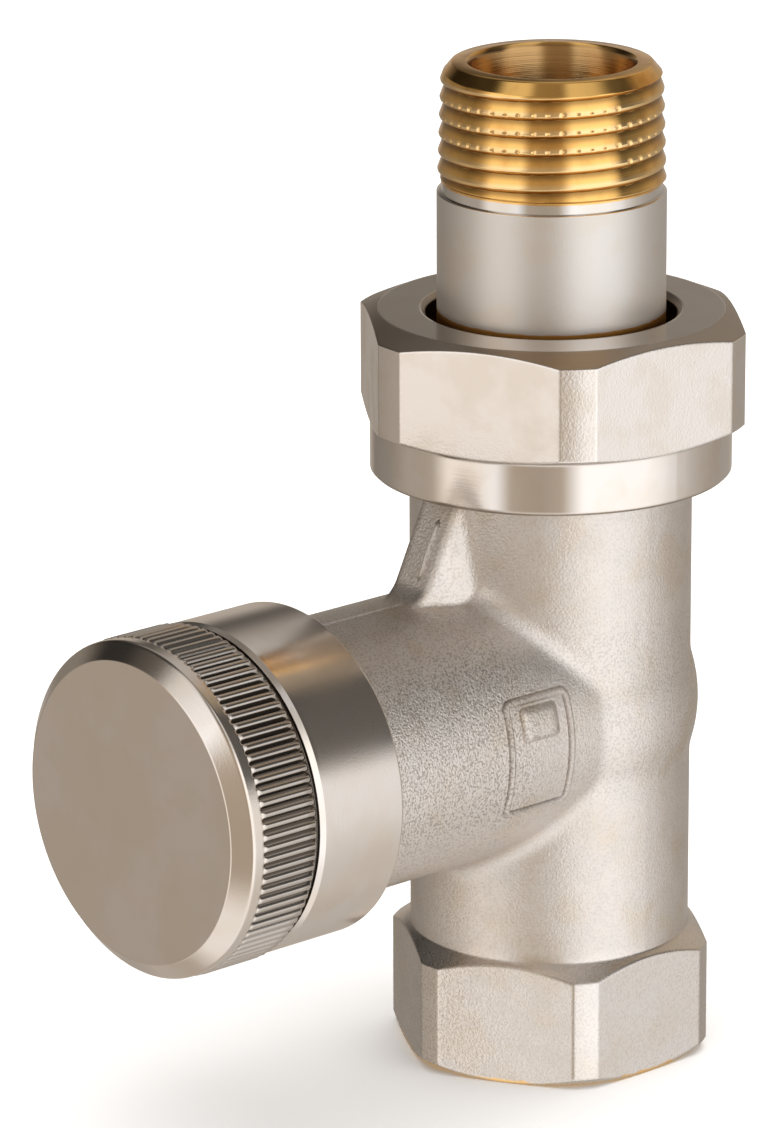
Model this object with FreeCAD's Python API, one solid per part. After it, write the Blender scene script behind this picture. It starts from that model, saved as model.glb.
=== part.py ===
import FreeCAD, Part
import math
import os

# Straight return shut-off radiator valve, DN10. Millimetres.
# Z runs up the flow axis, zero is the flat foot. The branch points to -Y, and d is the distance
# from the flow axis along the branch.
V = FreeCAD.Vector
X_AXIS = V(1, 0, 0)
Z_AXIS = V(0, 0, 1)
BRANCH_DIR = V(0, -1, 0)

# Body, outside
FOOT_AF = 22.0
FOOT_CORNER_R = 12.2
FOOT_FACE_R = 10.85
FOOT_CORNER_Z = 0.8
FOOT_SHOULDER_Z = 8.4
FOOT_TOP_Z = 9.5
TUBE_R = 10.5
NECK_Z = 46.2
BRANCH_Z = 27.2
BRANCH_R = 10.35
BRANCH_CAST_D = 25.2
CHAMBER_BULGE_R = 11.1
BULGE_BLEND_R = 4.0
BRANCH_FILLET_R = 2.0

# Gusset between tube and branch
GUSSET_TOP = (10.31, 45.75)
GUSSET_SLOPE_END = (13.83, 38.5)
GUSSET_TOE_D = 16.6
GUSSET_TOP_HALF = 1.76
GUSSET_DRAFT = 20.0
GUSSET_FILLET_R = 1.6

# Body, waterway
INLET_THREAD_R = 7.475
INLET_DEPTH = 11.7
INLET_MOUTH_R = 8.6
GALLERY_Y = 5.4
GALLERY_R = 3.3
GALLERY_TOP_Z = 30.6
SEAT_HOLE_R = 3.4
SEAT_LIP_R = 4.5
SEAT_D = 1.0
CHAMBER_FLOOR_D = -0.2
CHAMBER_R = 7.0
OUTLET_R = 6.0
OUTLET_START_Z = 36.6

# Branch mouth
SEAL_BORE_D = 20.0
SEAL_BORE_R = 7.2
BUSH_THREAD_D = 22.6
BUSH_BORE_R = 7.9
BRANCH_END_D = 34.6
CAP_THREAD_R = 9.90

# Union
UNION_THREAD_R = 11.32
UNION_TOP_Z = 50.2
UNION_CONE_MOUTH_R = 9.2
UNION_CONE_DEPTH = 3.2
NUT_AF = 27.0
NUT_CORNER_R = 14.88
NUT_TURN = 24.55
NUT_BORE_R = 11.40
NUT_HOLE_R = 9.30
NUT_SKIRT_R = 13.42
NUT_SKIRT_Z = 45.0
NUT_HEX_Z = 48.85
NUT_HEX_CORNER_Z = 49.45
NUT_SHOULDER_Z = 54.0
NUT_CORNER_TOP_Z = 56.35
NUT_FACE_R = 12.85
NUT_TOP_Z = 57.2

# Tailpiece
TAIL_R = 8.45
TAIL_BORE_R = 6.0
TAIL_MOUTH_R = 6.2
TAIL_COLLAR_R = 10.9
TAIL_COLLAR_Z = 50.35
TAIL_COLLAR_TOP_Z = 53.95
TAIL_NOSE_Z = 47.45
TAIL_THREAD_Z = 66.05
TAIL_THREAD_TOP_R = 8.17
TAIL_THREAD_TOP_Z = 74.75
TAIL_RIM_R = 7.35
TAIL_TOP_Z = 75.7
UNDERCUT_R = 8.13
UNDERCUT_Z = 66.35
UNDERCUT_TOP_Z = 66.9
THREAD_PITCH = 1.337
THREAD_DEPTH = 0.55
THREAD_GROOVE_HALF = 0.34
THREAD_FIRST_Z = 67.71
THREAD_GROOVES = 6

# Sealing cap
CAP_R = 12.45
CAP_SKIRT_R = 12.30
CAP_REAR_D = 25.6
CAP_GROOVE_R = 11.9
CAP_GROOVE_REAR_D = 33.1
KNURL_REAR_D = 33.6
KNURL_FRONT_D = 38.65
KNURL_ROOT_R = 12.06
KNURL_TEETH = 94
CAP_EDGE_D = 39.65
CAP_FACE_R = 11.1
CAP_FACE_D = 40.72
CAP_BORE_R = 9.97
CAP_SHOULDER_D = 35.9
CAP_CAVITY_R = 8.2
CAP_CAVITY_D = 38.4

# Guide bush and spindle, valve closed
BUSH_NOSE_D = 18.5
BUSH_SHOULDER_D = 26.1
BUSH_HEX_D = 32.8
BUSH_TOP_D = 35.4
BUSH_HEX_AF = 13.0
SPINDLE_THREAD_R = 4.93
SPINDLE_NUT_R = 5.0
STEM_R = 3.95
STEM_BORE_R = 4.05
STEM_TOP_D = 34.8
STEM_START_D = 22.9
SOCKET_AF = 5.0
SOCKET_DEPTH = 3.4
STEM_RING_R = 3.45
STEM_RING_SECTION = 0.55
STEM_RING_D = (28.0, 30.2)
TIP_R = 2.95
TIP_END_D = 6.8
TIP_SHOULDER_D = 12.0

# Plug
PLUG_R = 5.8
PLUG_RIM_D = 1.9
PLUG_FLOOR_D = 2.65
PLUG_STEP_D = 4.6
PLUG_NECK_R = 4.6
PLUG_TOP_D = 10.6
PLUG_BORE_R = 3.05
PLUG_BORE_D = 6.6
PLUG_RING_D = 8.5
PLUG_RING_R = 3.02
PLUG_RING_SECTION = 0.42
WASHER_R = 5.2
WASHER_FACE_D = 1.05
SCREW_R = 1.48
SCREW_HEAD_R = 2.5


def turned(points, about_branch=False):
    """A solid of revolution from (radius, height) points, about the flow axis or the branch axis."""
    if about_branch:
        corners = [V(r, -d, BRANCH_Z) for r, d in points]
        centre, axis = V(0, 0, BRANCH_Z), BRANCH_DIR
    else:
        corners = [V(r, 0, z) for r, z in points]
        centre, axis = V(0, 0, 0), Z_AXIS
    face = Part.Face(Part.makePolygon(corners + corners[:1]))
    solid = face.revolve(centre, axis, 360)
    if solid.Volume < 0:
        solid.reverse()
    return solid


def rod(radius, start_d, end_d):
    """A cylinder along the branch."""
    return Part.makeCylinder(radius, end_d - start_d, V(0, -start_d, BRANCH_Z), BRANCH_DIR)


def hexagon(across_flats, low, high, corner_angle=0.0):
    """A hexagonal bar along Z, with its first corner at corner_angle degrees from +X."""
    radius = across_flats / math.sqrt(3)
    angles = [math.radians(corner_angle + 60 * k) for k in range(6)]
    corners = [V(radius * math.cos(a), radius * math.sin(a), low) for a in angles]
    return Part.Face(Part.makePolygon(corners + corners[:1])).extrude(V(0, 0, high - low))


def along_branch(solid):
    """Turn a solid drawn along Z from the origin so that it lies along the branch."""
    solid.rotate(V(0, 0, 0), X_AXIS, 90)
    solid.translate(V(0, 0, BRANCH_Z))
    return solid


def ring(radius, section, d):
    """An O-ring round the branch axis, with an eight-sided section."""
    points = []
    for k in range(8):
        a = math.radians(22.5 + 45 * k)
        points.append((radius + section * math.cos(a), d + section * math.sin(a)))
    return turned(points, about_branch=True)


def body_tube():
    """The round tube with its swelling over the valve chamber, and the collar with the union thread."""
    reach = CHAMBER_BULGE_R + BULGE_BLEND_R
    rise = math.sqrt(reach ** 2 - (TUBE_R + BULGE_BLEND_R) ** 2)
    share = CHAMBER_BULGE_R / reach
    touch_r = share * (TUBE_R + BULGE_BLEND_R)
    touch_z = share * rise

    def blend_middle(sign):
        centre = V(TUBE_R + BULGE_BLEND_R, 0, BRANCH_Z + sign * rise)
        toward = V(touch_r - centre.x, 0, sign * (touch_z - rise))
        middle = (toward.normalize() + V(-1, 0, 0)).normalize()
        return centre + middle * BULGE_BLEND_R

    low_line = V(TUBE_R, 0, BRANCH_Z - rise)
    low_touch = V(touch_r, 0, BRANCH_Z - touch_z)
    top_touch = V(touch_r, 0, BRANCH_Z + touch_z)
    top_line = V(TUBE_R, 0, BRANCH_Z + rise)
    start = [V(0, 0, 1), V(TUBE_R, 0, 1), low_line]
    neck = [
        top_line,
        V(TUBE_R, 0, NECK_Z),
        V(UNION_THREAD_R, 0, NECK_Z + 0.8),
        V(UNION_THREAD_R, 0, UNION_TOP_Z - 0.6),
        V(UNION_THREAD_R - 0.6, 0, UNION_TOP_Z),
        V(0, 0, UNION_TOP_Z),
        V(0, 0, 1),
    ]
    edges = [Part.makeLine(a, b) for a, b in zip(start, start[1:])]
    edges.append(Part.Arc(low_line, blend_middle(-1), low_touch).toShape())
    edges.append(Part.Arc(low_touch, V(CHAMBER_BULGE_R, 0, BRANCH_Z), top_touch).toShape())
    edges.append(Part.Arc(top_touch, blend_middle(1), top_line).toShape())
    edges += [Part.makeLine(a, b) for a, b in zip(neck, neck[1:])]
    return Part.Face(Part.Wire(edges)).revolve(V(0, 0, 0), Z_AXIS, 360)


def body_foot():
    """The hexagon foot, its corners cut round and chamfered at both ends."""
    bar = hexagon(FOOT_AF, 0, FOOT_TOP_Z, 30)
    turned_limit = turned([
        (0, 0),
        (FOOT_FACE_R, 0),
        (FOOT_CORNER_R, FOOT_CORNER_Z),
        (FOOT_CORNER_R, FOOT_SHOULDER_Z),
        (TUBE_R, FOOT_TOP_Z),
        (0, FOOT_TOP_Z),
    ])
    return bar.common(turned_limit)


def body_gusset():
    """The gusset over the branch: a sloping back with a concave toe and drafted sides."""
    branch_top = BRANCH_Z + BRANCH_R
    slope_d, slope_z = GUSSET_SLOPE_END
    top_d, top_z = GUSSET_TOP
    start = V(0, -top_d, top_z)
    slope_end = V(0, -slope_d, slope_z)
    toe = V(0, -GUSSET_TOE_D, branch_top - 0.05)
    corner = V(0, -slope_d - 0.75, branch_top + 0.25)
    inner = V(0, -3, branch_top - 4)
    toe_low = V(0, -GUSSET_TOE_D, branch_top - 4)
    top_in = V(0, -3, top_z)
    edges = [
        Part.makeLine(start, slope_end),
        Part.Arc(slope_end, corner, toe).toShape(),
        Part.makeLine(toe, toe_low),
        Part.makeLine(toe_low, inner),
        Part.makeLine(inner, top_in),
        Part.makeLine(top_in, start),
    ]
    profile = Part.Face(Part.Wire(edges))
    profile.translate(V(-6, 0, 0))
    plate = profile.extrude(V(12, 0, 0))
    # A wedge whose sides spread from the sloping back into the body
    down = (slope_end - start).normalize()
    inward = V(0, down.z, -down.y)
    if inward.y < 0:
        inward = inward * -1
    spread = math.tan(math.radians(GUSSET_DRAFT))
    back = start - inward * 1.5
    half_back = GUSSET_TOP_HALF - 1.5 * spread
    half_deep = GUSSET_TOP_HALF + 9 * spread
    deep = start + inward * 9
    outline = [
        back + V(-half_back, 0, 0),
        back + V(half_back, 0, 0),
        deep + V(half_deep, 0, 0),
        deep + V(-half_deep, 0, 0),
    ]
    section = Part.Face(Part.makePolygon(outline + outline[:1]))
    section.translate(down * -8)
    wedge = section.extrude(down * 26)
    return plate.common(wedge)


def body_branch():
    """The cast branch and its threaded mouth."""
    return turned([
        (0, 0),
        (BRANCH_R, 0),
        (BRANCH_R, BRANCH_CAST_D - 0.3),
        (BRANCH_R - 0.3, BRANCH_CAST_D),
        (CAP_THREAD_R - 0.5, BRANCH_CAST_D + 0.3),
        (CAP_THREAD_R - 0.5, BRANCH_CAST_D + 1.2),
        (CAP_THREAD_R, BRANCH_CAST_D + 1.7),
        (CAP_THREAD_R, BRANCH_END_D - 0.6),
        (CAP_THREAD_R - 0.6, BRANCH_END_D),
        (0, BRANCH_END_D),
    ], about_branch=True)


def body_waterway():
    """Everything that is cut from the body: inlet, gallery, seat, chamber, outlet and branch mouth."""
    inlet = turned([
        (0, -1),
        (INLET_MOUTH_R + 1, -1),
        (INLET_MOUTH_R, 0),
        (INLET_THREAD_R, INLET_MOUTH_R - INLET_THREAD_R),
        (INLET_THREAD_R, INLET_DEPTH),
        (4.6, INLET_DEPTH + 3.2),
        (0, INLET_DEPTH + 3.2),
    ])
    gallery = Part.makeCylinder(GALLERY_R, GALLERY_TOP_Z - INLET_DEPTH, V(0, GALLERY_Y, INLET_DEPTH), Z_AXIS)
    seat_hole = rod(SEAT_HOLE_R, -GALLERY_Y, SEAT_D + 1)
    chamber = turned([
        (SEAT_LIP_R, SEAT_D),
        (SEAT_LIP_R, CHAMBER_FLOOR_D),
        (CHAMBER_R, CHAMBER_FLOOR_D),
        (CHAMBER_R, SEAL_BORE_D - 0.4),
        (SEAL_BORE_R, SEAL_BORE_D),
        (SEAL_BORE_R, BUSH_THREAD_D - 0.5),
        (BUSH_BORE_R, BUSH_THREAD_D),
        (BUSH_BORE_R, BRANCH_END_D + 1),
        (0, BRANCH_END_D + 1),
        (0, SEAT_D),
    ], about_branch=True)
    rise = Part.makeCylinder(3.6, OUTLET_START_Z + 2 - BRANCH_Z, V(0, -3.7, BRANCH_Z), Z_AXIS)
    outlet = turned([
        (0, OUTLET_START_Z),
        (4.0, OUTLET_START_Z),
        (OUTLET_R, OUTLET_START_Z + 2),
        (OUTLET_R, UNION_TOP_Z - UNION_CONE_DEPTH),
        (UNION_CONE_MOUTH_R, UNION_TOP_Z),
        (UNION_CONE_MOUTH_R + 1, UNION_TOP_Z + 1),
        (0, UNION_TOP_Z + 1),
    ])
    return [inlet, gallery, seat_hole, chamber, rise, outlet]


def on_tube(point):
    return TUBE_R - 0.02 < math.hypot(point.x, point.y) < CHAMBER_BULGE_R + 0.02


def on_branch(point):
    return abs(math.hypot(point.x, point.z - BRANCH_Z) - BRANCH_R) < 0.02


def branch_seam(point):
    return on_tube(point) and on_branch(point) and point.y < -0.5


def gusset_seam(point):
    return on_tube(point) and point.y < -5 and abs(point.x) > 0.6


def blended(first, second, radius, on_seam):
    """Two solids fused, with a round blend along the edges whose points are all on their seam."""
    joined = first.fuse(second).removeSplitter()
    edges = [edge for edge in joined.Edges if all(on_seam(p) for p in edge.discretize(7))]
    return joined.makeFillet(radius, edges)


def valve_body():
    """Forged body: tube, branch and gusset with rounded roots, and the foot, less the waterway."""
    tube = body_tube()
    shell = blended(tube, body_branch(), BRANCH_FILLET_R, branch_seam)
    ribbed = blended(tube, body_gusset(), GUSSET_FILLET_R, gusset_seam)
    shell = shell.fuse([ribbed, body_foot()]).removeSplitter()
    for cutter in body_waterway():
        shell = shell.cut(cutter)
    return shell.removeSplitter()


def union_nut():
    """Hexagon nut with a round skirt, chamfered corners, thread bore and clamping shoulder."""
    bar = hexagon(NUT_AF, NUT_HEX_Z - 1, NUT_TOP_Z, NUT_TURN)
    limit = turned([
        (0, NUT_HEX_Z),
        (NUT_SKIRT_R - 0.02, NUT_HEX_Z),
        (NUT_CORNER_R, NUT_HEX_CORNER_Z),
        (NUT_CORNER_R, NUT_CORNER_TOP_Z),
        (NUT_FACE_R, NUT_TOP_Z),
        (0, NUT_TOP_Z),
    ])
    skirt = turned([
        (0, NUT_SKIRT_Z),
        (NUT_SKIRT_R - 0.2, NUT_SKIRT_Z),
        (NUT_SKIRT_R, NUT_SKIRT_Z + 0.2),
        (NUT_SKIRT_R, NUT_HEX_Z + 0.5),
        (0, NUT_HEX_Z + 0.5),
    ])
    bore = turned([
        (0, NUT_SKIRT_Z - 1),
        (NUT_BORE_R + 1.6, NUT_SKIRT_Z - 1),
        (NUT_BORE_R + 0.6, NUT_SKIRT_Z),
        (NUT_BORE_R, NUT_SKIRT_Z + 0.6),
        (NUT_BORE_R, NUT_SHOULDER_Z),
        (NUT_HOLE_R, NUT_SHOULDER_Z),
        (NUT_HOLE_R, NUT_TOP_Z - 0.35),
        (NUT_HOLE_R + 0.35, NUT_TOP_Z),
        (NUT_HOLE_R + 0.35, NUT_TOP_Z + 1),
        (0, NUT_TOP_Z + 1),
    ])
    return bar.common(limit).fuse(skirt).cut(bore).removeSplitter()


def tail_crest(z):
    """Radius of the taper thread over its crests."""
    share = (z - TAIL_THREAD_Z) / (TAIL_THREAD_TOP_Z - TAIL_THREAD_Z)
    return TAIL_R + (TAIL_THREAD_TOP_R - TAIL_R) * share


def tailpiece():
    """Tail with its taper thread as rings, barrel and clamped collar with the sealing cone."""
    points = [
        (TAIL_BORE_R + 0.2, TAIL_NOSE_Z),
        (TAIL_BORE_R + 0.3, TAIL_NOSE_Z),
        (UNION_CONE_MOUTH_R - 0.12, TAIL_COLLAR_Z),
        (TAIL_COLLAR_R - 0.3, TAIL_COLLAR_Z),
        (TAIL_COLLAR_R, TAIL_COLLAR_Z + 0.3),
        (TAIL_COLLAR_R, TAIL_COLLAR_TOP_Z - 0.2),
        (TAIL_COLLAR_R - 0.2, TAIL_COLLAR_TOP_Z),
        (TAIL_R, TAIL_COLLAR_TOP_Z),
        (TAIL_R, TAIL_THREAD_Z),
        (UNDERCUT_R, UNDERCUT_Z),
        (UNDERCUT_R, UNDERCUT_TOP_Z),
        (tail_crest(UNDERCUT_TOP_Z + 0.3), UNDERCUT_TOP_Z + 0.3),
    ]
    for k in range(THREAD_GROOVES):
        root = THREAD_FIRST_Z + k * THREAD_PITCH
        low, high = root - THREAD_GROOVE_HALF, root + THREAD_GROOVE_HALF
        points += [(tail_crest(low), low), (tail_crest(root) - THREAD_DEPTH, root), (tail_crest(high), high)]
    points += [
        (TAIL_THREAD_TOP_R, TAIL_THREAD_TOP_Z),
        (TAIL_RIM_R, TAIL_TOP_Z),
        (TAIL_MOUTH_R, TAIL_TOP_Z),
        (TAIL_BORE_R, TAIL_TOP_Z - 0.2),
        (TAIL_BORE_R, TAIL_NOSE_Z + 0.4),
    ]
    return turned(points)


def knurl():
    """The straight knurled band of the cap, drawn as one toothed ring with bevelled ends."""
    corners = []
    pitch = 2 * math.pi / KNURL_TEETH
    for k in range(KNURL_TEETH):
        for part, radius in ((-0.46, KNURL_ROOT_R), (-0.22, CAP_R), (0.22, CAP_R), (0.46, KNURL_ROOT_R)):
            a = (k + part) * pitch
            corners.append(V(radius * math.cos(a), radius * math.sin(a), KNURL_REAR_D))
    toothed = Part.Face(Part.makePolygon(corners + corners[:1])).extrude(V(0, 0, CAP_EDGE_D - KNURL_REAR_D))
    toothed = along_branch(toothed)
    rise = CAP_R - KNURL_ROOT_R
    limit = turned([
        (0, KNURL_REAR_D),
        (KNURL_ROOT_R, KNURL_REAR_D),
        (CAP_R, KNURL_REAR_D + rise),
        (CAP_R + 1, KNURL_REAR_D + rise),
        (CAP_R + 1, KNURL_FRONT_D),
        (0, KNURL_FRONT_D),
    ], about_branch=True)
    return toothed.common(limit)


def sealing_cap():
    """Turned cap: smooth skirt, run-out groove, knurled band and rounded front edge."""
    edge_mid_r = CAP_FACE_R + 0.74 * (CAP_R - CAP_FACE_R)
    edge_mid_d = CAP_EDGE_D + 0.70 * (CAP_FACE_D - CAP_EDGE_D)
    blank = turned([
        (0, CAP_REAR_D),
        (CAP_SKIRT_R - 0.25, CAP_REAR_D),
        (CAP_SKIRT_R, CAP_REAR_D + 0.25),
        (CAP_SKIRT_R, CAP_GROOVE_REAR_D - 0.38),
        (CAP_GROOVE_R, CAP_GROOVE_REAR_D),
        (CAP_GROOVE_R, KNURL_REAR_D),
        (KNURL_ROOT_R - 0.05, KNURL_REAR_D),
        (KNURL_ROOT_R - 0.05, KNURL_FRONT_D - 0.05),
        (CAP_R, KNURL_FRONT_D + 0.15),
        (CAP_R, CAP_EDGE_D),
        (edge_mid_r, edge_mid_d),
        (CAP_FACE_R, CAP_FACE_D),
        (0, CAP_FACE_D),
    ], about_branch=True)
    cavity = turned([
        (0, CAP_REAR_D - 1),
        (CAP_BORE_R + 1.7, CAP_REAR_D - 1),
        (CAP_BORE_R + 0.7, CAP_REAR_D),
        (CAP_BORE_R, CAP_REAR_D + 0.7),
        (CAP_BORE_R, CAP_SHOULDER_D),
        (CAP_CAVITY_R, CAP_SHOULDER_D),
        (CAP_CAVITY_R, CAP_CAVITY_D - 0.4),
        (CAP_CAVITY_R - 0.4, CAP_CAVITY_D),
        (0, CAP_CAVITY_D),
    ], about_branch=True)
    return blank.fuse(knurl()).cut(cavity).removeSplitter()


def cap_gasket():
    return turned([
        (8.2, BRANCH_END_D + 0.05),
        (9.6, BRANCH_END_D + 0.05),
        (9.6, CAP_SHOULDER_D - 0.05),
        (8.2, CAP_SHOULDER_D - 0.05),
    ], about_branch=True)


def guide_bush():
    """Bush with O-ring groove, outside thread, hexagon head, spindle thread and stem bore."""
    groove_low, groove_high = SEAL_BORE_D + 0.5, SEAL_BORE_D + 2.1
    shank = turned([
        (SPINDLE_NUT_R + 0.5, BUSH_NOSE_D),
        (6.6, BUSH_NOSE_D),
        (6.9, BUSH_NOSE_D + 0.3),
        (6.9, SEAL_BORE_D),
        (7.1, SEAL_BORE_D + 0.2),
        (7.1, groove_low),
        (5.78, groove_low),
        (5.78, groove_high),
        (7.1, groove_high),
        (BUSH_BORE_R - 0.08, BUSH_THREAD_D + 0.25),
        (BUSH_BORE_R - 0.08, BUSH_HEX_D),
        (STEM_BORE_R, BUSH_HEX_D),
        (STEM_BORE_R, BUSH_SHOULDER_D),
        (SPINDLE_NUT_R, BUSH_SHOULDER_D),
        (SPINDLE_NUT_R, BUSH_NOSE_D + 0.5),
    ], about_branch=True)
    head = along_branch(hexagon(BUSH_HEX_AF, BUSH_HEX_D, BUSH_TOP_D, 30))
    limit = turned([
        (STEM_BORE_R, BUSH_HEX_D),
        (7.5, BUSH_HEX_D),
        (7.5, BUSH_TOP_D - 0.5),
        (6.3, BUSH_TOP_D),
        (STEM_BORE_R + 0.3, BUSH_TOP_D),
        (STEM_BORE_R, BUSH_TOP_D - 0.3),
    ], about_branch=True)
    return shank.fuse(head.common(limit)).removeSplitter()


def spindle():
    """Regulating spindle: swivel tip, thread, stem with two O-ring grooves, hexagon socket."""
    groove_r = STEM_RING_R - STEM_RING_SECTION - 0.02
    half = STEM_RING_SECTION + 0.12
    tip_groove_r = PLUG_RING_R - PLUG_RING_SECTION - 0.15
    points = [
        (0, TIP_END_D),
        (TIP_R - 0.3, TIP_END_D),
        (TIP_R, TIP_END_D + 0.3),
        (TIP_R, PLUG_RING_D - 0.65),
        (tip_groove_r, PLUG_RING_D - 0.65),
        (tip_groove_r, PLUG_RING_D + 0.65),
        (TIP_R, PLUG_RING_D + 0.65),
        (TIP_R, TIP_SHOULDER_D),
        (SPINDLE_THREAD_R - 0.5, TIP_SHOULDER_D),
        (SPINDLE_THREAD_R, TIP_SHOULDER_D + 0.5),
        (SPINDLE_THREAD_R, STEM_START_D - 0.5),
        (STEM_R, STEM_START_D),
    ]
    for d in STEM_RING_D:
        points += [(STEM_R, d - half), (groove_r, d - half), (groove_r, d + half), (STEM_R, d + half)]
    points += [(STEM_R, STEM_TOP_D - 0.4), (STEM_R - 0.4, STEM_TOP_D), (0, STEM_TOP_D)]
    socket = along_branch(hexagon(SOCKET_AF, STEM_TOP_D - SOCKET_DEPTH, STEM_TOP_D + 1, 30))
    return turned(points, about_branch=True).cut(socket)


def valve_plug():
    """Disc holder: washer cup in front, swivel bore with ring groove behind."""
    ring_r = PLUG_RING_R + PLUG_RING_SECTION + 0.04
    half = PLUG_RING_SECTION + 0.04
    return turned([
        (SCREW_R + 0.02, PLUG_FLOOR_D),
        (WASHER_R + 0.02, PLUG_FLOOR_D),
        (WASHER_R + 0.02, PLUG_RIM_D),
        (PLUG_R, PLUG_RIM_D),
        (PLUG_R, PLUG_STEP_D - 0.3),
        (PLUG_R - 0.3, PLUG_STEP_D),
        (PLUG_NECK_R, PLUG_STEP_D),
        (PLUG_NECK_R, PLUG_TOP_D),
        (PLUG_BORE_R + 0.3, PLUG_TOP_D),
        (PLUG_BORE_R, PLUG_TOP_D - 0.3),
        (PLUG_BORE_R, PLUG_RING_D + half),
        (ring_r, PLUG_RING_D + half),
        (ring_r, PLUG_RING_D - half),
        (PLUG_BORE_R, PLUG_RING_D - half),
        (PLUG_BORE_R, PLUG_BORE_D),
        (SCREW_R + 0.02, PLUG_BORE_D),
    ], about_branch=True)


def seat_washer():
    return turned([
        (SCREW_R + 0.12, WASHER_FACE_D),
        (WASHER_R - 0.2, WASHER_FACE_D),
        (WASHER_R, WASHER_FACE_D + 0.2),
        (WASHER_R, PLUG_FLOOR_D),
        (SCREW_R + 0.12, PLUG_FLOOR_D),
    ], about_branch=True)


def washer_screw():
    head_d = WASHER_FACE_D - 1.3
    screw = turned([
        (0, head_d),
        (SCREW_HEAD_R - 0.3, head_d),
        (SCREW_HEAD_R, head_d + 0.3),
        (SCREW_HEAD_R, WASHER_FACE_D),
        (SCREW_R, WASHER_FACE_D),
        (SCREW_R, PLUG_BORE_D - 0.1),
        (0, PLUG_BORE_D - 0.1),
    ], about_branch=True)
    slot = Part.makeBox(6, 0.6, 0.8, V(-3, -head_d - 0.6, BRANCH_Z - 0.4))
    return screw.cut(slot)


NODES = {
    "valve_body": valve_body,
    "union_nut": union_nut,
    "tailpiece": tailpiece,
    "sealing_cap": sealing_cap,
    "cap_gasket": cap_gasket,
    "guide_bush": guide_bush,
    "guide_bush_o_ring": lambda: ring(6.48, 0.68, SEAL_BORE_D + 1.3),
    "spindle": spindle,
    "spindle_o_ring_outer": lambda: ring(STEM_RING_R, STEM_RING_SECTION, STEM_RING_D[1]),
    "spindle_o_ring_inner": lambda: ring(STEM_RING_R, STEM_RING_SECTION, STEM_RING_D[0]),
    "valve_plug": valve_plug,
    "plug_ring": lambda: ring(PLUG_RING_R, PLUG_RING_SECTION, PLUG_RING_D),
    "seat_washer": seat_washer,
    "washer_screw": washer_screw,
}

os.makedirs("parts", exist_ok=True)
for name, make in NODES.items():
    shape = make()
    print(name, "valid" if shape.isValid() else "NOT VALID", len(shape.Solids), round(shape.Volume, 1))
    shape.exportStep("parts/" + name + ".step")
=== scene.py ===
"""Looks of the manual radiator valve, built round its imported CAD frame.

The tailpiece gets its cut thread and the cap its rounded knurl as meshes. All other solids stay and get
procedural metals. Lengths are in millimetres until a mesh is made; +Z is the flow axis and the branch
points to -Y.
"""

import math

import bpy
import numpy as np
from mathutils import Matrix, Vector

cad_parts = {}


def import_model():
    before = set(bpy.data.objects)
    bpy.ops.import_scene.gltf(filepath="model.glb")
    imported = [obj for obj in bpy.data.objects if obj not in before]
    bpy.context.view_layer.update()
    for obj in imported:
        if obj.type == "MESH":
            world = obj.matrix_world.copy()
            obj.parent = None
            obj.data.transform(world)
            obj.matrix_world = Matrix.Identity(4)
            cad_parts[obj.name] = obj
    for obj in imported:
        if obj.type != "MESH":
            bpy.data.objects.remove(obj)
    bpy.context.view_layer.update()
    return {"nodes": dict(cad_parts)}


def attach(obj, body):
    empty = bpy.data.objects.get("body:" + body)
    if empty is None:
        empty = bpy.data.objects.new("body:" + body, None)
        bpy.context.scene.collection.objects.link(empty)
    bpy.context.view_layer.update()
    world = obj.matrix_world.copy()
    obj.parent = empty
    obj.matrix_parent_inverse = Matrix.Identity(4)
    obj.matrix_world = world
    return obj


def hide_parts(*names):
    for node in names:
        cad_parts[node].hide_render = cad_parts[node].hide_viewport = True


MM = 0.001

# Camera, from a fit of the solids' edges to the photograph
VIEW_AZIMUTH = math.radians(48.550)
VIEW_ELEVATION = math.radians(16.993)
VIEW_ROLL = math.radians(-0.241)
VIEW_DISTANCE = 477.742
VIEW_SIDE = -12.402
VIEW_HEIGHT = 37.401
LENS = 204.52
SENSOR_HEIGHT = 36

# Body. Places along the branch, D, are counted from the flow axis. The blasted finish fades in from
# FOOT_FADE_Z up the tube and from BRANCH_FADE_D along the branch; its pits are densest in a belt of heights
BRANCH_Z = 27.2
BRANCH_R = 10.35
BRANCH_END_D = 25.4
FOOT_FADE_Z = 9.0
BRANCH_FADE_D = 8.5
BELT_Z = (24.0, 34.0)
NECK_Z = 46.2
INLET_R = 8.7
INLET_DEPTH = 11.7
INLET_PITCH = 1.337
CAP_PITCH = 1.5
UNION_PITCH = 1.814
UNION_ROOT_R = 10.6

# Tailpiece
TAIL_R = 8.45
TAIL_BORE_R = 6.0
TAIL_MOUTH_R = 6.2
TAIL_COLLAR_R = 10.9
TAIL_COLLAR_Z = 50.35
TAIL_COLLAR_TOP_Z = 53.95
TAIL_NOSE_Z = 47.45
TAIL_NOSE_R = 8.9
TAIL_THREAD_Z = 66.05
TAIL_THREAD_TOP_R = 8.17
TAIL_THREAD_TOP_Z = 74.75
TAIL_RIM_R = 7.35
TAIL_TOP_Z = 75.7
UNDERCUT_R = 8.13
UNDERCUT_TOP_Z = 66.9

# Tail thread: its profile as turns below a crest and the fall of the radius there. The notches in its
# crests lie on the turns between two counts from the crest at THREAD_CREST_Z
THREAD_PITCH = 1.337
THREAD_CREST_Z = 72.24
THREAD_BELOW = (0.0, 0.11, 0.30, 1.0)
THREAD_DROP = (0.0, 0.035, 0.32, 0.0)
THREAD_ROW = 0.038
NOTCHES = 48
NOTCH_SEGMENTS = 7
NOTCH_DEPTH = 0.10
NOTCH_WIDTH = 0.10
NOTCH_TURNS = (-2.5, 0.5)

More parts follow.
